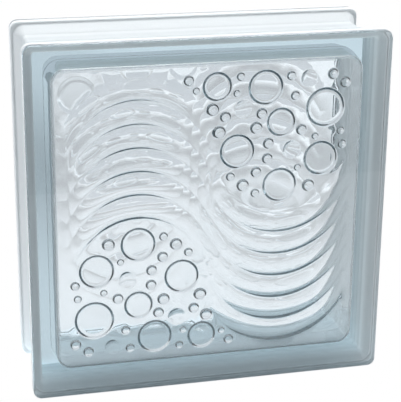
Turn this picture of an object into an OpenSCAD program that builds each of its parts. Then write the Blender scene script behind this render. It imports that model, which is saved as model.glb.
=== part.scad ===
// Hollow glass building block: two pressed halves fused into one piece.
// A rim runs round each face, a mortar channel lies between the rims, and the
// inside of both faces carries a relief of waves and bubbles.
// X is the width, Y the depth and Z is up. The front face looks towards -Y.
// The origin is at the middle of the underside.

/* [Block] */
// Width of the block
block_w = 240; // [190:1:300]
// Height of the block
block_h = 240; // [190:1:300]
// Depth from the front face to the rear face
block_d = 80; // [70:1:100]
// Radius of the four corners of each face
corner_r = 5.5; // [5:0.5:9]
// Rounding along the edge of each face
edge_r = 1.5; // [1:0.25:3]
// Rounding along the inner edge of each rim
rim_edge_r = 1; // [0.5:0.25:2]

/* [Mortar channel] */
// Thickness of each rim at its outer edge
rim_t = 10; // [6:0.5:14]
// Depth of the channel below the rims
channel_deep = 7; // [5:0.5:10]
// Step in from the edge of a rim to the top of its flank
rim_land = 2; // [1.5:0.25:3]
// Width of the sloped flank between a rim and the channel floor
flank_w = 9; // [4:0.5:12]
// Corner radius of the channel floor
channel_corner_r = 2; // [1:0.5:12]
// Width of the fused seam on the channel floor
seam_w = 4; // [2:0.5:6]
// Height of the fused seam above the channel floor
seam_h = 0.8; // [0.4:0.1:1.5]

/* [Hollow] */
// Glass thickness of each face
face_t = 10; // [7:0.5:13]
// Thickness of the side walls at the seam
wall_t = 8; // [6:0.5:12]
// Thickening of the side walls towards the faces, which frees the mould
wall_draft = 2; // [1:0.25:3]
// Corner radius of the hollow at the seam
hollow_corner_r = 12; // [8:1:20]
// Fillet between the side walls and the inside of the faces
fillet_r = 3; // [1:0.5:6]
// Plain edge between the fillets and the relief on the inside of a face
relief_edge = 4.5; // [1:0.5:6]

/* [Waves] */
// Number of grooves in a wave field
wave_count = 6; // [3:1:8]
// Depth of the grooves at the middle of a wave
wave_deep = 2.5; // [1:0.1:3]
// Flat left on the ridge between two grooves
wave_land = 0.4; // [0.2:0.1:1]
// Tilt that lets each groove run out of the glass at its ends, in degrees
wave_tilt = 3.2; // [2:0.1:6]

/* [Bubbles] */
// Height of the flat discs
disc_h = 2.2; // [0.6:0.1:2.6]
// Inward slope of a disc's edge, over its height
disc_edge = 1.6; // [0.3:0.1:2.4]
// Steepness of the small drops at their foot, in degrees
drop_angle = 60; // [35:1:65]
// Steepness of the soft swells at their foot, in degrees
swell_angle = 32; // [20:1:45]

/* [Hidden] */
// Facets of the curves in a preview
$fn = 64;
// Overlap that lets two shapes join or cut cleanly
lap = 0.6;

// Inner side of the rims, and inside of the faces, from the mid plane
rim_y = block_d / 2 - rim_t;
inner_y = block_d / 2 - face_t;
// Half the width and height of the channel floor, and of the hollow at the seam
floor_x = block_w / 2 - channel_deep;
floor_z = block_h / 2 - channel_deep;
hollow_x = floor_x - wall_t;
hollow_z = floor_z - wall_t;
// Flat part of the inside of a face, between the fillets
flat_w = 2 * (hollow_x - wall_draft - fillet_r);
flat_h = 2 * (hollow_z - wall_draft - fillet_r);

// The relief is two wave fields and two bubble fields, in a pinwheel
field_w = flat_w / 2 - relief_edge;
field_h = flat_h / 2 - relief_edge;
// Grooves: their pitch, the radius of their arcs and of their hollow section
wave_pitch = field_h / wave_count;
wave_arc_r = field_w / 2;
wave_half = (wave_pitch - wave_land) / 2;
wave_cut_r = (wave_half * wave_half + wave_deep * wave_deep) / (2 * wave_deep);

// Bubbles of one field, drawn for a field of 96 mm: X and Z from the middle of the
// face, and radius. The other field is the same one turned half round.
layout_size = 96;
layout_x = field_w / layout_size;
layout_z = field_h / layout_size;
layout_r = (layout_x + layout_z) / 2;
discs = [
    [48, 17.5, 12], [76, 34.5, 12], [18.5, 42.5, 12], [48, 61, 10],
    [78, 69.5, 13.5], [37, 85, 12], [4.5, 87, 10]
];
swells = [[55.5, 42, 6], [22, 71.5, 6], [66, 90, 5.5]];
drops = [
    [68, 16, 4.3], [31, 13, 3], [22.5, 19, 4.2], [14, 25.5, 3], [31.5, 27.5, 3.7],
    [60, 29, 2.4], [39, 36.5, 3.7], [39.5, 47, 3.7], [90.5, 43.5, 3.1], [89, 53, 2.7],
    [71.5, 50, 2.4], [62, 55, 3.7], [31, 58, 4.2], [6, 56.5, 4.3], [34.5, 67.5, 3.7],
    [10, 66.5, 3.7], [1.5, 72, 4.2], [57, 78.5, 3.1], [17.5, 82, 2.4], [-9.5, 85, 2.4],
    [-14.5, 92, 3.4], [20, 93, 2.8], [91, 86, 3.7], [82.5, 92, 3.6], [54, 92, 3.1]
];

// A block with rounded corners, from a half section whose X runs out from the
// corner's axis by $out more on the straight stretches
module swept_block(half_w, half_h, r) {
    axis_x = half_w - r;
    axis_z = half_h - r;
    for (side_x = [-1, 1], side_z = [-1, 1])
        translate([side_x * axis_x, 0, side_z * axis_z])
            rotate([-90, 0, 0])
                rotate_extrude()
                    let ($out = 0) children();
    linear_extrude(2 * axis_z, center = true)
        let ($out = axis_x) both_ways() children();
    rotate([0, -90, 0])
        linear_extrude(2 * axis_x, center = true)
            let ($out = axis_z) both_ways() children();
}

module both_ways() {
    children();
    mirror([1, 0]) children();
}

// What rounding off a section's corner takes away: the corner points to +X and -Y,
// and the origin is at the middle of the round
module corner_waste(r) {
    difference() {
        translate([0, -r - lap]) square(r + lap);
        circle(r);
    }
}

// Section of the front rim, with both its edges rounded
module rim_section() {
    rim_out = $out + corner_r;
    translate([0, -block_d / 2])
        difference() {
            square([rim_out, rim_t]);
            translate([rim_out - edge_r, edge_r]) corner_waste(edge_r);
            translate([rim_out - rim_edge_r, rim_t - rim_edge_r])
                mirror([0, 1]) corner_waste(rim_edge_r);
        }
}

// Section of the body between the rims: two flanks, the channel floor and the seam
module channel_section() {
    floor_out = $out + channel_corner_r;
    flank_out = floor_out + channel_deep - rim_land;
    polygon([
        [0, -rim_y - lap], [flank_out, -rim_y - lap], [flank_out, -rim_y],
        [floor_out, -rim_y + flank_w],
        [floor_out, -seam_w / 2], [floor_out + seam_h, -seam_w / 4],
        [floor_out + seam_h, seam_w / 4], [floor_out, seam_w / 2],
        [floor_out, rim_y - flank_w],
        [flank_out, rim_y], [flank_out, rim_y + lap], [0, rim_y + lap]
    ]);
}

// Section of the hollow: drafted walls, and fillets at both faces
module hollow_section() {
    seam_out = $out + hollow_corner_r;
    wall_out = seam_out - wall_draft;
    flat_out = wall_out - fillet_r;
    foot_y = inner_y - fillet_r;
    difference() {
        polygon([
            [0, -inner_y], [wall_out, -inner_y], [wall_out, -foot_y], [seam_out, 0],
            [wall_out, foot_y], [wall_out, inner_y], [0, inner_y]
        ]);
        for (upper = [0, 1])
            mirror([0, upper])
                translate([flat_out, -foot_y]) corner_waste(fillet_r);
    }
}

// Cutter of one groove: a ring with a lens section, whose lowest point cuts deepest,
// at the origin. Its tilt brings both ends up out of the glass.
module groove_ring() {
    rotate([-wave_tilt, 0, 0])
        translate([0, 0, wave_arc_r])
            rotate([90, 0, 0])
                rotate_extrude(angle = 180, start = 180)
                    translate([wave_arc_r, 0])
                        intersection() {
                            translate([0, wave_deep - wave_cut_r]) circle(wave_cut_r);
                            translate([-wave_cut_r, -lap])
                                square([2 * wave_cut_r, wave_deep + 2 * lap]);
                        }
}

// Grooves of the lower right wave field, cut into the inside of the front face. They
// stay on its flat part, clear of the fillets.
module wave_field() {
    reach_x = flat_w / 2 - lap;
    reach_z = flat_h / 2 - lap;
    intersection() {
        translate([-reach_x, -block_d / 2, -reach_z])
            cube([2 * reach_x, block_d / 2, 2 * reach_z]);
        for (i = [0 : wave_count - 1])
            translate([field_w / 2, -inner_y, -(i + 0.5) * wave_pitch]) groove_ring();
    }
}

// Bubbles of the upper right field, standing on the inside of the front face
module bubble_field() {
    for (b = discs) on_face(b) disc(b[2] * layout_r);
    for (b = swells) on_face(b) dome(b[2] * layout_r, swell_angle);
    for (b = drops) on_face(b) dome(b[2] * layout_r, drop_angle);
}

module on_face(place) {
    translate([place[0] * layout_x, -inner_y, place[1] * layout_z])
        rotate([-90, 0, 0])
            children();
}

module disc(r) {
    slope = disc_edge / disc_h;
    translate([0, 0, -lap])
        cylinder(h = disc_h + lap, r1 = r + slope * lap, r2 = r - disc_edge);
}

module dome(r, foot_angle) {
    ball_r = r / sin(foot_angle);
    translate([0, 0, -ball_r * cos(foot_angle)]) sphere(ball_r);
}

// A field and the same field turned half round, on both faces
module on_both_faces() {
    for (face_turn = [0, 180], field_turn = [0, 180])
        rotate([0, 0, face_turn])
            rotate([0, field_turn, 0])
                children();
}

module body() {
    swept_block(floor_x, floor_z, channel_corner_r) channel_section();
    for (face_turn = [0, 180])
        rotate([0, 0, face_turn])
            swept_block(block_w / 2, block_h / 2, corner_r) rim_section();
}

module hollow() {
    difference() {
        union() {
            swept_block(hollow_x, hollow_z, hollow_corner_r) hollow_section();
            on_both_faces() wave_field();
        }
        on_both_faces() bubble_field();
    }
}

module glass_block() {
    color("lightsteelblue")
        translate([0, 0, block_h / 2])
            difference() {
                body();
                hollow();
            }
}

glass_block();
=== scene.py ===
# Hollow glass building block with a pressed relief of waves and bubbles inside both faces.
# X is the width, Y the depth, Z is up, and the front face looks towards -Y. The sizes of the block
# are in millimetres, and its materials, lamps and table are in metres, as the scene is.
import math

import bpy
import numpy as np
from mathutils import Matrix, Vector
from mathutils.geometry import delaunay_2d_cdt


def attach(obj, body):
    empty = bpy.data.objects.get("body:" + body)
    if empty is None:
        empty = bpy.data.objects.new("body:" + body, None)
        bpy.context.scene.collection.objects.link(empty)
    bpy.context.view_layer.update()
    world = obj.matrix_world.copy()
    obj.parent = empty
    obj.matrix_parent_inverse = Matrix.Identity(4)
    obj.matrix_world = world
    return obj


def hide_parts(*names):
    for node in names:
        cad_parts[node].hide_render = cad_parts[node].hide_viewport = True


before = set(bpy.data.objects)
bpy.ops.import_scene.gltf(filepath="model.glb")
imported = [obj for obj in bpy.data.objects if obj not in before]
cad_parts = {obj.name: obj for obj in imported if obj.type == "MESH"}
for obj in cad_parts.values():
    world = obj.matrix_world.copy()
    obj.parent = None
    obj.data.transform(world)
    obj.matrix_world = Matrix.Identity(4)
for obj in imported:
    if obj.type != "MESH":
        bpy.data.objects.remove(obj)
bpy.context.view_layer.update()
scene = bpy.context.scene
print("frame loaded:", list(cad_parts))


def addObject(name, data):
    thing = bpy.data.objects.new(name, data)
    scene.collection.objects.link(thing)
    return thing


# Glass block, shell

shellSizes = {
    "width": 240.0,
    "height": 240.0,
    "depth": 80.0,
    "faceCorner": 5.5,       # corner radius of both faces
    "faceRound": 1.5,        # round between a face and its rim
    "rimThick": 10.0,
    "rimRound": 1.0,         # round on the inner edge of a rim
    "rimLand": 0.4,          # flat below that round
    "flankInset": 0.6,       # from there to the top corner of the flank, before it is rounded
    "flankWidth": 9.0,
    "flankRound": 1.5,
    "channelDeep": 7.0,
    "channelCorner": 2.0,    # corner radius of the channel floor
    "footRound": 2.5,        # fillet between the flank and the channel floor
    "seamWidth": 4.4,        # fused joint of the two halves, outside
    "seamHeight": 0.8,
    "faceThick": 10.0,
    "wallThick": 8.0,        # side walls, at the joint
    "wallDraft": 2.0,        # how much thicker they are at the faces
    "hollowCorner": 12.0,    # corner radius of the hollow, at the joint
    "hollowFillet": 3.0,
    "beadWidth": 5.0,        # fused joint, inside
    "beadHeight": 0.5,
    "plainStrip": 0.5,       # level strip beside the face's round, the seam and the bead
    "rimStrip": 0.1,         # the same beside the rim's round
    "filletStrip": 0.05,     # and beside the hollow's fillet
    "cornerSteps": 14,
    "sideSteps": 16,
    "roundSteps": 7,
    "beadSteps": 8,
}


def unit(vectors):
    # Each vector divided by its own length.
    return vectors / np.linalg.norm(vectors, axis=1, keepdims=True)


def roundedProfile(corners, radii, steps):
    # A line through the corners, where each inner corner becomes an arc that is tangent to both
    # sides. The normal lies to the right of the way along the line.
    corners = np.array(corners, float)
    way = unit(np.diff(corners, axis=0))
    points, normals = [corners[:1]], [np.array([[way[0, 1], -way[0, 0]]])]
    for corner, before, after, radius in zip(corners[1:-1], way[:-1], way[1:], radii):
        turn = math.atan2(before[0] * after[1] - before[1] * after[0], before @ after)
        side = math.copysign(1.0, turn)
        start = corner - before * radius * math.tan(abs(turn) / 2)
        middle = start + side * radius * np.array([-before[1], before[0]])
        angle = np.linspace(0, turn, steps + 1)
        along = np.stack([np.cos(angle) * before[0] - np.sin(angle) * before[1],
                          np.sin(angle) * before[0] + np.cos(angle) * before[1]], 1)
        right = np.stack([along[:, 1], -along[:, 0]], 1)
        points.append(middle + side * radius * right)
        normals.append(right)
    points.append(corners[-1:])
    normals.append(np.array([[way[-1, 1], -way[-1, 0]]]))
    return np.concatenate(points), np.concatenate(normals)


def halfBead(width, height):
    # One side of a bead, up to its crest: Y, the rise, which is a squared cosine of Y, and the
    # slope of the rise.
    y = np.linspace(-width / 2, 0, shellSizes["beadSteps"] + 1)[:-1]
    swing = math.pi * y / width
    return y, height * np.cos(swing) ** 2, -height * np.sin(2 * swing) * math.pi / width


def mirroredAtCrest(points, normals, crest, crestNormal):
    # The line, the crest of the joint, and the line back from its end with Y turned round.
    flip = np.array([1.0, -1.0])
    return (np.concatenate([points, [crest], points[::-1] * flip]),
            np.concatenate([normals, [crestNormal], normals[::-1] * flip]))


def outerProfile():
    # Front face edge, rim, flank, channel floor and joint, then the mirror image. Each point comes
    # with the corner radius of its ring, which grows with its distance outwards.
    s = shellSizes
    front, rim = -s["depth"] / 2, -s["depth"] / 2 + s["rimThick"]
    inset = s["rimRound"] + s["rimLand"]
    rimPoints, rimNormals = roundedProfile(
        [(-s["faceRound"] - s["plainStrip"], front), (0, front), (0, rim),
         (-s["rimRound"] - s["rimStrip"], rim)],
        [s["faceRound"], s["rimRound"]], s["roundSteps"])
    flankPoints, flankNormals = roundedProfile(
        [(-inset, rim), (-inset - s["flankInset"], rim), (-s["channelDeep"], rim + s["flankWidth"]),
         (-s["channelDeep"], -s["seamWidth"] / 2 - s["plainStrip"])],
        [s["flankRound"], s["footRound"]], s["roundSteps"])
    y, rise, slope = halfBead(s["seamWidth"], s["seamHeight"])
    seam = np.stack([rise - s["channelDeep"], y], 1)
    seamNormals = unit(np.stack([np.ones_like(y), -slope], 1))
    points, normals = mirroredAtCrest(
        np.concatenate([rimPoints, flankPoints, seam]),
        np.concatenate([rimNormals, flankNormals, seamNormals]),
        (s["seamHeight"] - s["channelDeep"], 0.0), (1.0, 0.0))
    radii = np.full(len(points), s["channelCorner"] + s["channelDeep"])
    radii[:len(rimPoints)] = radii[-len(rimPoints):] = s["faceCorner"]
    return points, normals, radii + points[:, 0]


def innerProfile():
    # From the edge of the front relief through its fillet and up the drafted wall to the bead of
    # the joint, then the mirror image. Normals point into the hollow.
    s = shellSizes
    inner = -s["depth"] / 2 + s["faceThick"]
    atSeam = -s["channelDeep"] - s["wallThick"]
    atFoot = atSeam - s["wallDraft"]
    slope = s["wallDraft"] / (-inner - s["hollowFillet"])
    corner = atFoot - slope * s["hollowFillet"]
    flat = atFoot - s["hollowFillet"] - s["filletStrip"]
    wallEnd = -s["beadWidth"] / 2 - s["plainStrip"]
    wall, wallNormals = roundedProfile(
        [(flat, inner), (corner, inner), (atSeam + slope * wallEnd, wallEnd)],
        [s["hollowFillet"]], 2 * s["roundSteps"])
    y, rise, beadSlope = halfBead(s["beadWidth"], s["beadHeight"])
    bead = np.stack([atSeam + slope * y - rise, y], 1)
    beadNormals = unit(np.stack([-np.ones_like(y), slope - beadSlope], 1))
    points, normals = mirroredAtCrest(
        np.concatenate([wall, bead]), np.concatenate([-wallNormals, beadNormals]),
        (atSeam - s["beadHeight"], 0.0), (-1.0, 0.0))
    return points, normals, s["hollowCorner"] - atSeam + points[:, 0]


def withSides(arcs, part):
    # The four corner arcs of each ring, each followed by the straight way to the next one.
    end, start = arcs[:, :, -1:], np.roll(arcs[:, :, :1], -1, 1)
    return np.concatenate([arcs, end + (start - end) * part], 2).reshape(len(arcs), -1)


def carriedRound(points, normals, radii):
    # Each profile point makes one closed ring, a rectangle with rounded corners: the point's first
    # number is how far it lies outside the block's outline, its second number is Y.
    s = shellSizes
    out, y = points[:, 0, None, None], points[:, 1]
    r = radii[:, None, None]
    quarter = np.arange(4)[:, None] * math.pi / 2
    angle = quarter + np.linspace(0, math.pi / 2, s["cornerSteps"] + 1)
    signX = np.array([1, -1, -1, 1])[:, None]
    signZ = np.array([1, 1, -1, -1])[:, None]
    part = np.arange(1, s["sideSteps"] + 1) / (s["sideSteps"] + 1)
    x = withSides(signX * (s["width"] / 2 + out - r) + r * np.cos(angle), part)
    z = withSides(signZ * (s["height"] / 2 + out - r) + r * np.sin(angle), part)
    rings = np.stack([x, np.broadcast_to(y[:, None], x.shape), z], 2)
    facing = np.concatenate([angle, quarter + math.pi / 2 + 0 * part], 1).ravel()
    outward, depthward = normals[:, :1], normals[:, 1:]
    ringNormals = np.stack(
        [outward * np.cos(facing), depthward + 0 * facing, outward * np.sin(facing)], 2)
    return rings, ringNormals


# Glass block, relief on the inside of a face: X and Z from the middle of the face

reliefSizes = {
    "field": 95.5,           # side of a wave field or a bubble field
    "layout": 96.0,          # side of the field that the bubbles are listed for
    "waveCount": 6,
    "waveDeep": 2.5,
    "waveLand": 0.4,         # flat between two grooves
    "waveTilt": 3.2,         # degrees, lets the grooves run out at their ends
    "waveEnd": 1.5,          # above 1, they stay deep longer and run out faster
    "waveSoft": 0.05,        # rounding of the ridges
    "discHeight": 2.2,
    "discSlope": 2.3,        # width of a disc's edge
    "discFoot": 0.15,        # how far that edge reaches beyond the radius
    "dropAngle": 60.0,       # steepness at the foot, degrees
    "swellAngle": 32.0,
    "bubbleSoft": 0.1,       # rounding at the foot of drops and swells
    "ripple": 0.12,          # unevenness of the pressed ground between the bubbles
    "rippleEdge": 800.0,     # it grows from none to full while X times Z rises by this
}

# place and radius of each bubble in the upper right field
discs = np.array([
    (48, 17.5, 12), (76, 34.5, 12), (18.5, 42.5, 12), (48, 61, 10), (78, 69.5, 13.5),
    (37, 85, 12), (4.5, 87, 10)])
swells = np.array([(55.5, 42, 6), (22, 71.5, 6), (66, 90, 5.5)])
drops = np.array([
    (68, 16, 4.3), (31, 13, 3), (22.5, 19, 4.2), (14, 25.5, 3), (31.5, 27.5, 3.7),
    (60, 29, 2.4), (39, 36.5, 3.7), (39.5, 47, 3.7), (90.5, 43.5, 3.1), (89, 53, 2.7),
    (71.5, 50, 2.4), (62, 55, 3.7), (31, 58, 4.2), (6, 56.5, 4.3), (34.5, 67.5, 3.7),
    (10, 66.5, 3.7), (1.5, 72, 4.2), (57, 78.5, 3.1), (17.5, 82, 2.4), (-9.5, 85, 2.4),
    (-14.5, 92, 3.4), (20, 93, 2.8), (91, 86, 3.7), (82.5, 92, 3.6), (54, 92, 3.1)])

# ripples of the ground: a share, then for each of two sines that are multiplied the radians per
# millimetre of X and of Z, and the angle at the middle
ripples = (
    (1.0, (0.31, 0.12, 1.0), (-0.09, 0.36, 2.0)),
    (0.5, (0.55, -0.23, 0.0), (0.17, 0.47, 0.0)))


def bothFields(bubbles):
    # The lower left field is the upper right one turned half round.
    scale = reliefSizes["field"] / reliefSizes["layout"]
    return np.concatenate([bubbles, bubbles * (-1, -1, 1)]) * scale


def grooveDepths(x, z):
    # Depth of each groove of the lower right field. A groove follows the lower half of a circle,
    # its section is an arc, and it gets shallower with the height above its lowest point.
    r = reliefSizes
    pitch = r["field"] / r["waveCount"]
    arc = r["field"] / 2
    half = (pitch - r["waveLand"]) / 2
    cut = (half ** 2 + r["waveDeep"] ** 2) / (2 * r["waveDeep"])
    above = z[..., None] + (np.arange(r["waveCount"]) + 0.5) * pitch
    across = np.hypot(x[..., None] - arc, above - arc) - arc
    section = np.sqrt(np.maximum(cut ** 2 - across ** 2, 0)) - cut
    steep = math.tan(math.radians(r["waveTilt"]))
    lift = steep * arc * np.sign(above) * (np.abs(above) / arc) ** r["waveEnd"]
    return r["waveDeep"] + section - lift


def softMost(values, soft):
    # A maximum whose crease is rounded: soft times the logarithm of the summed exponentials.
    most = values.max(-1)
    return most + soft * np.log(np.exp((values - most[..., None]) / soft).sum(-1))


def groundRipple(x, z):
    # Sum of products of two sines, only in the bubble fields, where X times Z is positive.
    r = reliefSizes
    total = np.zeros(x.shape)
    for share, (oneX, oneZ, oneStart), (twoX, twoZ, twoStart) in ripples:
        total += (share * np.sin(oneX * x + oneZ * z + oneStart)
                  * np.sin(twoX * x + twoZ * z + twoStart))
    return np.clip(0.5 + x * z / r["rippleEdge"], 0, 1) * r["ripple"] * total


def reliefHeight(x, z):
    # Height towards the hollow: grooves below the ground, discs as tables with an s-shaped edge,
    # drops and swells as caps of a ball.
    r = reliefSizes
    ground = np.zeros(x.shape + (1,))
    depths = np.concatenate([grooveDepths(x, z), grooveDepths(-x, -z), ground], -1)
    height = groundRipple(x, z) - softMost(depths, r["waveSoft"])
    for cx, cz, radius in bothFields(discs):
        inwards = radius + r["discFoot"] - np.hypot(x - cx, z - cz)
        t = np.clip(inwards / r["discSlope"], 0, 1)
        height = height + (r["discHeight"] - height) * t * t * (3 - 2 * t)
    caps = [height]
    nowhere = -9.0           # beside a cap, far below the ground
    for bubbles, foot in ((drops, r["dropAngle"]), (swells, r["swellAngle"])):
        foot = math.radians(foot)
        for cx, cz, radius in bothFields(bubbles):
            ball = radius / math.sin(foot)
            rest = ball ** 2 - (x - cx) ** 2 - (z - cz) ** 2
            cap = np.sqrt(np.maximum(rest, 0)) - ball * math.cos(foot)
            caps.append(np.where(rest > 0, cap, nowhere))
    return softMost(np.stack(caps, -1), r["bubbleSoft"])


# where the points of the relief's mesh lie
reliefMesh = {
    "discRings": (-4.0, -2.0, -1.6, -1.35, -1.0, -0.7, -0.4, -0.1, 0.15, 0.4, 1.3),  # past its edge
    "capParts": (0.3, 0.58, 0.8, 0.93),            # rings of a drop or swell, parts of its radius
    "capRings": (-0.06, 0.06, 0.25, 0.9),          # past its edge
    "ringPoints": 7.2,                             # points in a ring, for each mm of radius
    "ringLimits": (26, 84),                        # least and most of them
    "waveReach": 79.0,                             # degrees of arc on each side of a groove's foot
    "waveSteps": 112,                              # points along it
    "waveParts": (0, 0.05, 0.16, 0.32, 0.5, 0.68, 0.84, 0.95),   # across it, from ridge to ridge
    "waveClear": 1.6,                              # from the grooves' points to a bubble
    "halvings": 30,
    "groundStep": 2.4,
    "groundRow": 0.866,                            # row distance, as a part of the step
    "groundClear": 2.2,                            # from the ground's points to a bubble
    "edgeClear": 0.5,                              # from all points to the edge of the relief
    "edgeFade": 1.2,                               # strip along the edge where the relief runs out
    "slopeStep": 0.02,
    "mergeWithin": 1e-5,
}


def everyBubble():
    # Place and radius of all bubbles of a face, the discs first.
    return np.concatenate([bothFields(discs), bothFields(swells), bothFields(drops)])


def edgeDistance(points):
    # How far each point lies outside the edge of each bubble.
    b = everyBubble()
    return np.hypot(points[:, :1] - b[:, 0], points[:, 1:] - b[:, 1]) - b[:, 2]


def bubblePoints():
    # Rings of points round every bubble, close together where its edge is steep. A point stays
    # with the bubble whose edge is nearest.
    m = reliefMesh
    discRings, capRings, capParts = (np.array(m[k]) for k in ("discRings", "capRings", "capParts"))
    points, owners = [], []
    for number, (cx, cz, radius) in enumerate(everyBubble()):
        reach = radius + discRings
        if number >= 2 * len(discs):
            reach = np.concatenate([capParts * radius, radius + capRings])
        count = int(np.clip(radius * m["ringPoints"], *m["ringLimits"]))
        turn = np.arange(count) * 2 * math.pi / count
        turn = turn[None, :] + (np.arange(len(reach)) % 2)[:, None] * math.pi / count
        reach = reach[:, None]
        ring = np.stack([cx + reach * np.cos(turn), cz + reach * np.sin(turn)], 2).reshape(-1, 2)
        points.append(np.concatenate([ring, [[cx, cz]]]))
        owners.append(np.full(len(ring) + 1, number))
    points, owners = np.concatenate(points), np.concatenate(owners)
    return points[edgeDistance(points).argmin(1) == owners]


def wavePoints():
    # A grid over the lower right field and its copy turned half round: one number runs along the
    # arcs, the other across each groove from ridge to ridge. A ridge is where two grooves are
    # equally deep, or a groove meets the ground, and is found by halving.
    r, m = reliefSizes, reliefMesh
    arc, pitch, count = r["field"] / 2, r["field"] / r["waveCount"], r["waveCount"]
    along = np.radians(np.linspace(-m["waveReach"], m["waveReach"], m["waveSteps"]))[:, None]
    x = arc + arc * np.sin(along) + np.zeros(count + 1)
    high = arc - arc * np.cos(along) - (np.arange(count + 1) - 0.5) * pitch
    low = high - pitch
    row = np.arange(count + 1)
    for _ in range(m["halvings"]):
        z = (high + low) / 2
        depth = np.pad(grooveDepths(x, z), ((0, 0), (0, 0), (1, 1)))
        above = depth[:, row, row] > depth[:, row, row + 1]
        high, low = np.where(above, z, high), np.where(above, low, z)
    ridge = (high + low) / 2
    width = (ridge[:, 1:] - ridge[:, :-1])[..., None]
    across = (ridge[:, :-1, None] + width * np.array(m["waveParts"])).reshape(len(x), -1)
    across = np.concatenate([across, ridge[:, -1:]], 1)
    points = np.stack([x[:, :1] + 0 * across, across], 2).reshape(-1, 2)
    points = np.concatenate([points, -points])
    return points[edgeDistance(points).min(1) > m["waveClear"]]


def groundPoints(taken):
    # An even triangular grid that leaves out bubbles and every place near a taken point. Nearness
    # goes by square cells of half a step: a taken point fills its own cell and the eight round it.
    field, step = reliefSizes["field"], reliefMesh["groundStep"]
    columns, rows = np.meshgrid(
        np.arange(-field, field, step),
        np.arange(-field, field, step * reliefMesh["groundRow"]), indexing="ij")
    columns = columns + (np.arange(columns.shape[1]) % 2) * step / 2
    points = np.stack([columns.ravel(), rows.ravel()], 1)
    points = points[edgeDistance(points).min(1) > reliefMesh["groundClear"]]
    cell, margin = step / 2, 2
    size = int(2 * field / cell) + 3 * margin
    full = np.zeros((size, size), bool)
    spotX, spotZ = ((taken + field) / cell).astype(int).T + margin
    for dx in (-1, 0, 1):
        for dz in (-1, 0, 1):
            full[np.clip(spotX + dx, 0, size - 1), np.clip(spotZ + dz, 0, size - 1)] = True
    spotX, spotZ = ((points + field) / cell).astype(int).T + margin
    return points[~full[spotX, spotZ]]


def edgedHeight(x, z, border):
    # The relief's height, which runs out in a narrow strip along the border.
    fade = (border - np.maximum(np.abs(x), np.abs(z))) / reliefMesh["edgeFade"]
    return reliefHeight(x, z) * np.clip(fade, 0, 1)


def reliefFace(edge):
    # The relief as triangles between the given edge points: heights come from the height formula,
    # slopes from its differences over a small step.
    m = reliefMesh
    inside = np.concatenate([bubblePoints(), wavePoints()])
    inside = np.concatenate([inside, groundPoints(inside)])
    border = np.abs(edge).max()
    corner = shellSizes["hollowCorner"] - shellSizes["wallDraft"] - shellSizes["hollowFillet"]
    past = np.maximum(np.abs(inside) - (border - m["edgeClear"]) + corner, 0)
    inside = inside[np.hypot(past[:, 0], past[:, 1]) < corner]
    number = np.arange(len(edge))
    loop = np.stack([number, np.roll(number, -1)], 1).tolist()
    insideLoop = 1           # the kind of result: triangles within the loop only
    found, _, faces, origin, _, _ = delaunay_2d_cdt(
        np.concatenate([edge, inside]).tolist(), loop, [], insideLoop, m["mergeWithin"])
    flat, faces = np.array(found), np.array(faces)
    source = np.array([first[0] if first else -1 for first in origin])
    a, b, c = (flat[faces[:, k]] for k in range(3))
    area = (b[:, 0] - a[:, 0]) * (c[:, 1] - a[:, 1]) - (b[:, 1] - a[:, 1]) * (c[:, 0] - a[:, 0])
    faces = np.where(area[:, None] > 0, faces[:, ::-1], faces)      # the relief looks towards +Y
    x, z = flat.T
    step = m["slopeStep"]
    slopeX = (edgedHeight(x + step, z, border) - edgedHeight(x - step, z, border)) / (2 * step)
    slopeZ = (edgedHeight(x, z + step, border) - edgedHeight(x, z - step, border)) / (2 * step)
    normals = unit(np.stack([-slopeX, np.ones_like(x), -slopeZ], 1))
    return flat, edgedHeight(x, z, border), normals, faces, source


def ringFaces(count, length, first, outwards):
    # Squares between neighbouring rings.
    p, j = np.meshgrid(np.arange(count - 1), np.arange(length), indexing="ij")
    here, nextOne = first + p * length + j, first + p * length + (j + 1) % length
    squares = np.stack([here, here + length, nextOne + length, nextOne], 2).reshape(-1, 4)
    return squares if outwards else squares[:, ::-1]


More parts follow.
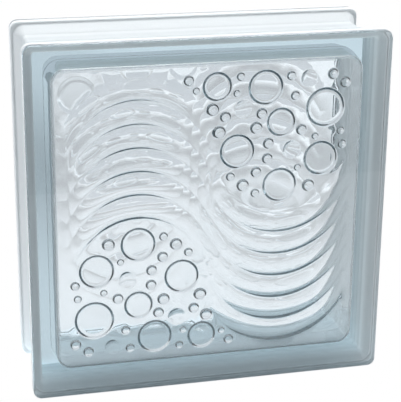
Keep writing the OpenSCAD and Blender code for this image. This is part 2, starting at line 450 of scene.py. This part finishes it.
def makeGlassBlock():
    # Outer rings closed by the two plain faces, and inner rings closed by the two reliefs. The rear
    # relief is the front one turned half round the upright axis.
    outer, outerNormals = carriedRound(*outerProfile())
    inner, innerNormals = carriedRound(*innerProfile())
    rings, length = len(outer), outer.shape[1]
    total = (rings + len(inner)) * length
    points = [outer.reshape(-1, 3), inner.reshape(-1, 3)]
    normals = [outerNormals.reshape(-1, 3), innerNormals.reshape(-1, 3)]
    faces = ringFaces(rings, length, 0, True).tolist()
    faces += ringFaces(len(inner), length, rings * length, False).tolist()
    faces += [list(range(length)), list(range(rings * length - 1, (rings - 1) * length - 1, -1))]
    edge, level = inner[0][:, [0, 2]], inner[0, 0, 1]
    flat, height, slopes, triangles, source = reliefFace(edge)
    onEdge = (source >= 0) & (source < length)
    # for each edge point, the one that mirrors it in X
    twin = np.hypot(edge[:, None, 0] + edge[:, 0], edge[:, None, 1] - edge[:, 1]).argmin(1)
    for turn, ring in ((1, rings), (-1, rings + len(inner) - 1)):   # front, then rear
        spot = source[onEdge] if turn > 0 else twin[source[onEdge]]
        number = np.zeros(len(flat), int)
        number[onEdge] = ring * length + spot
        number[~onEdge] = total + np.arange((~onEdge).sum())
        total += (~onEdge).sum()
        place = np.stack([turn * flat[:, 0], turn * (level + height), flat[:, 1]], 1)
        points.append(place[~onEdge])
        normals.append((slopes * (turn, turn, 1))[~onEdge])
        faces += number[triangles].tolist()
    points, normals = np.concatenate(points), np.concatenate(normals)
    points = (points + (0, 0, shellSizes["height"] / 2)) / 1000     # metres, standing on Z 0
    mesh = bpy.data.meshes.new("glassBlock")
    mesh.from_pydata(points.tolist(), [], faces)
    mesh.polygons.foreach_set("use_smooth", np.ones(len(faces), bool))
    mesh.normals_split_custom_set_from_vertices(normals.tolist())
    mesh.update()
    print("glass block:", len(points), "points,", sum(len(f) - 2 for f in faces), "triangles")
    return addObject("glassBlock", mesh)


block = makeGlassBlock()
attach(block, "root")
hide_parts("glass_block")


# Materials


class Signal:                # a node's output that takes part in sums
    def __init__(self, graph, socket):
        self.graph, self.socket = graph, socket

    def __add__(self, other):
        return self.graph.maths("ADD", self, other)

    def __sub__(self, other):
        return self.graph.maths("SUBTRACT", self, other)

    def __rsub__(self, other):
        return self.graph.maths("SUBTRACT", other, self)

    def __mul__(self, other):
        return self.graph.maths("MULTIPLY", self, other)

    __radd__ = __add__
    __rmul__ = __mul__


class Graph:                 # the nodes of a material or of the sky
    def __init__(self, owner):
        owner.use_nodes = True
        self.tree = owner.node_tree
        self.tree.nodes.clear()

    def add(self, kind, settings=None, inputs=None, out=0):
        node = self.tree.nodes.new(kind)
        for name, value in (settings or {}).items():
            setattr(node, name, value)
        for name, value in (inputs or {}).items():
            if isinstance(value, Signal):
                self.tree.links.new(value.socket, node.inputs[name])
            else:
                node.inputs[name].default_value = value
        return Signal(self, node.outputs[out]) if len(node.outputs) else None

    def maths(self, operation, a, b=0.0):
        return self.add("ShaderNodeMath", {"operation": operation}, {0: a, 1: b})

    def parts(self, vector):                 # X, Y and Z
        node = self.add("ShaderNodeSeparateXYZ", inputs={0: vector}).socket.node
        return [Signal(self, socket) for socket in node.outputs]

    def ramp(self, value, low, high):        # 0 below low, 1 above high, smooth between
        return self.add("ShaderNodeMapRange", {"interpolation_type": "SMOOTHSTEP"},
                        {"Value": value, "From Min": low, "From Max": high})

    def noise(self, place, scale, detail):
        return self.add("ShaderNodeTexNoise", {},
                        {"Vector": place, "Scale": scale, "Detail": detail})

    def bump(self, height, strength, distance):
        return self.add("ShaderNodeBump", {},
                        {"Height": height, "Strength": strength, "Distance": distance})

    def mix(self, share, first, second, way="MIX"):        # two colours
        return self.add("ShaderNodeMix", {"data_type": "RGBA", "blend_type": way},
                        {"Factor": share, 6: first, 7: second}, out=2)

    def blend(self, share, first, second):                 # two shaders
        return self.add("ShaderNodeMixShader", {}, {0: share, 1: first, 2: second})


# Depth is measured from the mid plane and side from the block's middle, in metres. A pair is where
# a change begins and ends.
glassLook = {
    "tint": (0.85, 0.859, 0.864, 1.0),
    "ior": 1.52,
    "depthColour": (0.55, 0.655, 0.695, 1.0),    # absorption along the light's way
    "depthDensity": 22.0,
    "roughness": 0.0,
    "waveScale": 60.0,                           # slight unevenness of the pressed glass
    "waveDetail": 1.0,
    "waveStrength": 0.03,
    "waveHeight": 0.001,
    "waveEnd": (0.104, 0.112),                   # side, the rims' edges stay crisp
    "keyRoughness": 0.5,                         # glass that shows through the matt skin
    "keyEnd": (0.0352, 0.0366),                  # depth, the skin ends on the rims
    "keyStart": (0.1075, 0.1085),                # side, it lies on the outside only
    "keyCoat": (0.92, 0.94, 0.955, 1.0),         # matt skin that gives the mortar a key
    "keyShade": (0.83, 0.87, 0.885, 1.0),        # its thinner streaks
    "keyGlow": (0.87, 0.94, 0.955, 1.0),         # light that comes through it
    "keyShare": 0.9,                             # how much of the glass it covers
    "keyUneven": 0.2,                            # how much of that the streaks change
    "keyPatches": (0.3, 0.7),
    "streakScale": 130.0,                        # streaks along the channels
    "streakDetail": 1.5,
    "streakTone": 0.7,                           # their part in the skin's colour
    "streakRange": (0.35, 0.7),
    "grainScale": 900.0,                         # fine grain of the skin
    "grainDetail": 2.0,
    "grainTone": 0.3,
    "grainRange": (0.35, 0.65),
    "grainStrength": 0.3,
    "grainHeight": 0.0004,
    "skinRoughness": 0.6,
    "skinUneven": 0.25,                          # what the grain adds to it
    "sheer": 0.38,                               # how much light the skin lets through
    "sheerLess": 0.14,                           # and how much less on the flanks
    "flankStart": (0.1132, 0.1145),              # side
}


def makeClearGlass():
    # Clear absorbing glass, and over it a matt skin that is partly chalky and partly lets light
    # through. The skin lies where depth is small and side is large.
    k = glassLook
    material = bpy.data.materials.new("clearGlass")
    g = Graph(material)
    place = g.add("ShaderNodeTexCoord", out="Object")
    x, y, z = g.parts(place)
    middle = shellSizes["height"] / 2000         # in metres
    depth = g.maths("ABSOLUTE", y)
    side = g.maths("MAXIMUM", g.maths("ABSOLUTE", x), g.maths("ABSOLUTE", z - middle))
    skin = (1 - g.ramp(depth, *k["keyEnd"])) * g.ramp(side, *k["keyStart"])

    wave = g.noise(place, k["waveScale"], k["waveDetail"])
    uneven = (wave - 0.5) * (1 - g.ramp(side, *k["waveEnd"]))
    glass = g.add("ShaderNodeBsdfPrincipled", {}, {
        "Base Color": k["tint"], "Roughness": k["roughness"] + skin * k["keyRoughness"],
        "IOR": k["ior"], "Transmission Weight": 1.0,
        "Normal": g.bump(uneven, k["waveStrength"], k["waveHeight"])})
    body = g.add("ShaderNodeVolumeAbsorption", {}, {
        "Color": k["depthColour"], "Density": k["depthDensity"]})

    lanes = g.add("ShaderNodeCombineXYZ", {}, {0: depth, 1: side})
    streak = g.noise(lanes, k["streakScale"], k["streakDetail"])
    grain = g.noise(place, k["grainScale"], k["grainDetail"])
    tone = (k["streakTone"] * g.ramp(streak, *k["streakRange"])
            + k["grainTone"] * g.ramp(grain, *k["grainRange"]))
    chalk = g.add("ShaderNodeBsdfPrincipled", {}, {
        "Base Color": g.mix(tone, k["keyShade"], k["keyCoat"]),
        "Roughness": k["skinRoughness"] + k["skinUneven"] * grain,
        "Normal": g.bump(grain, k["grainStrength"], k["grainHeight"])})
    through = g.add("ShaderNodeBsdfTranslucent", {}, {"Color": k["keyGlow"]})
    sheer = k["sheer"] - k["sheerLess"] * g.ramp(side, *k["flankStart"])
    coat = g.blend(sheer, chalk, through)
    patches = g.ramp(streak, *k["keyPatches"]) - 0.5
    surface = g.blend(skin * (k["keyShare"] + k["keyUneven"] * patches), glass, coat)
    g.add("ShaderNodeOutputMaterial", {}, {"Surface": surface, "Volume": body})
    return material


block.data.materials.append(makeClearGlass())
print("glass material ready")

# Table, light and camera

# A pair is where a change begins and ends: metres on the table, parts of a unit vector in the sky.
studio = {
    "tableSize": 1.0,                            # from the block to the sides and the rear edge
    "tableFront": 0.45,                          # from the block to the front edge
    "tableDrop": 0.0002,                         # just below the rims
    "tableColour": (0.62, 0.62, 0.63, 1.0),
    "tableRoughness": 0.9,
    "glowColour": (0.96, 0.98, 1.0, 1.0),        # light from the table itself
    "nearGlow": 0.62,                            # round the block
    "nearFade": (0.08, 0.55),
    "farGlow": 0.98,                             # towards the table's edge, where it meets the sky
    "farRise": (0.4, 0.95),
    "farLeft": 0.75,                             # share of that on the left
    "farRight": (0.03, 0.15),                    # from here on, all of it
    "underGlow": 0.6,                            # right under the block
    "underColour": (0.7, 0.9, 1.0, 1.0),
    "underFade": (0.13, 0.2),
    "underRear": (0.03, 0.06),
    "frontGlow": 0.15,                           # share of near and under in front of the block
    "frontRise": (-0.04, 0.02),
    "skyTop": (0.6, 0.61, 0.62, 1.0),
    "skyRear": (1.15, 1.17, 1.22, 1.0),
    "skyFront": (0.05, 0.054, 0.058, 1.0),
    "topRise": (0.4, 0.8),
    "rearRise": (-0.3, 0.5),
    "bounces": 32,                               # enough for a way through both reliefs and back
    "glossyBounces": 24,
}


def seenDirectly(g, shader):
    # The camera itself sees plain white behind and below the block.
    direct = g.add("ShaderNodeLightPath", out="Is Camera Ray")
    white = g.add("ShaderNodeEmission", {}, {"Color": (1.0, 1.0, 1.0, 1.0), "Strength": 1.0})
    return g.blend(direct, shader, white)


def makeTable():
    # A pale table with light of its own, as a sum of three parts: under, near and far.
    s = studio
    half, front = s["tableSize"], -s["tableFront"]
    mesh = bpy.data.meshes.new("table")
    mesh.from_pydata([(-half, front, 0), (half, front, 0), (half, half, 0), (-half, half, 0)],
                     [], [(0, 1, 2, 3)])
    table = addObject("table", mesh)
    table.location.z = -s["tableDrop"]
    material = bpy.data.materials.new("paleTable")
    g = Graph(material)
    place = g.add("ShaderNodeTexCoord", out="Object")
    away = g.add("ShaderNodeVectorMath", {"operation": "LENGTH"}, {0: place}, out="Value")
    x, y, z = g.parts(place)
    kept = s["frontGlow"] + (1 - s["frontGlow"]) * g.ramp(y, *s["frontRise"])
    below = (1 - g.ramp(away, *s["underFade"])) * (1 - g.ramp(y, *s["underRear"]))
    under = below * kept * s["underGlow"]
    near = (1 - g.ramp(away, *s["nearFade"])) * kept * s["nearGlow"]
    sideways = s["farLeft"] + (1 - s["farLeft"]) * g.ramp(x, *s["farRight"])
    far = g.ramp(away, *s["farRise"]) * sideways * s["farGlow"]
    cool = g.mix(under, (0.0, 0.0, 0.0, 1.0), s["underColour"])
    shine = g.mix(near + far, cool, s["glowColour"], "ADD")
    paint = g.add("ShaderNodeBsdfPrincipled", {}, {
        "Base Color": s["tableColour"], "Roughness": s["tableRoughness"],
        "Emission Color": shine, "Emission Strength": 1.0})
    g.add("ShaderNodeOutputMaterial", {}, {"Surface": seenDirectly(g, paint)})
    mesh.materials.append(material)


def makeSky():
    # Dark behind the camera, bright behind the block, and a calmer light from above.
    s = studio
    world = bpy.data.worlds.new("studio")
    scene.world = world
    g = Graph(world)
    x, y, z = g.parts(g.add("ShaderNodeTexCoord", out="Generated"))
    sides = g.mix(g.ramp(y, *s["rearRise"]), s["skyFront"], s["skyRear"])
    colour = g.mix(g.ramp(z, *s["topRise"]), sides, s["skyTop"])
    light = g.add("ShaderNodeBackground", {}, {"Color": colour, "Strength": 1.0})
    g.add("ShaderNodeOutputWorld", {}, {"Surface": seenDirectly(g, light)})


# round lamps: place, aim, width in metres and power in watts
lamps = {
    "overhead": ((0.0, 0.25, 1.3), (0.0, 0.25, 0.0), 1.0, 14.0),
    "leftSide": ((-1.0, 0.15, 0.25), (-0.12, 0.0, 0.12), 0.5, 1.5),
    "rightSide": ((1.0, 0.15, 0.25), (0.12, 0.0, 0.12), 0.5, 3.3),
}


def addLight(name, place, aim, size, power):
    # A disc of light that faces its aim.
    lamp = bpy.data.lights.new(name, "AREA")
    lamp.shape, lamp.size, lamp.energy = "DISK", size, power
    holder = addObject(name, lamp)
    holder.location = place
    holder.rotation_euler = (Vector(aim) - Vector(place)).to_track_quat("-Z", "Y").to_euler()


cameraPlace = {
    "yaw": 13.72,                        # degrees, to the right of straight at the face
    "pitch": 19.67,                      # degrees, downwards
    "roll": 0.59,                        # degrees
    "position": (-202.9, -840.0, 426.7),
    "lens": 120.3,
    "sensor": 36.0,
    "clip": (0.01, 100.0),               # metres
}


def makeCamera():
    # The view is turned right by yaw, down by pitch, and about its own line by roll.
    c = cameraPlace
    yaw, pitch, roll = (math.radians(c[k]) for k in ("yaw", "pitch", "roll"))
    forward = Vector((math.sin(yaw) * math.cos(pitch), math.cos(yaw) * math.cos(pitch),
                      -math.sin(pitch)))
    level = Vector((math.cos(yaw), -math.sin(yaw), 0))
    right = math.cos(roll) * level + math.sin(roll) * level.cross(forward)
    up = right.cross(forward)
    turned = Matrix((right, up, -forward)).transposed().to_4x4()
    lens = bpy.data.cameras.new("camera")
    lens.sensor_width, lens.lens = c["sensor"], c["lens"]
    lens.clip_start, lens.clip_end = c["clip"]
    camera = addObject("camera", lens)
    camera.matrix_world = Matrix.Translation(Vector(c["position"]) / 1000) @ turned
    scene.camera = camera


makeTable()
makeSky()
for name, lamp in lamps.items():
    addLight(name, *lamp)
makeCamera()
scene.view_settings.view_transform = "Standard"
scene.cycles.max_bounces = studio["bounces"]
scene.cycles.transmission_bounces = studio["bounces"]
scene.cycles.glossy_bounces = studio["glossyBounces"]
print("studio ready")
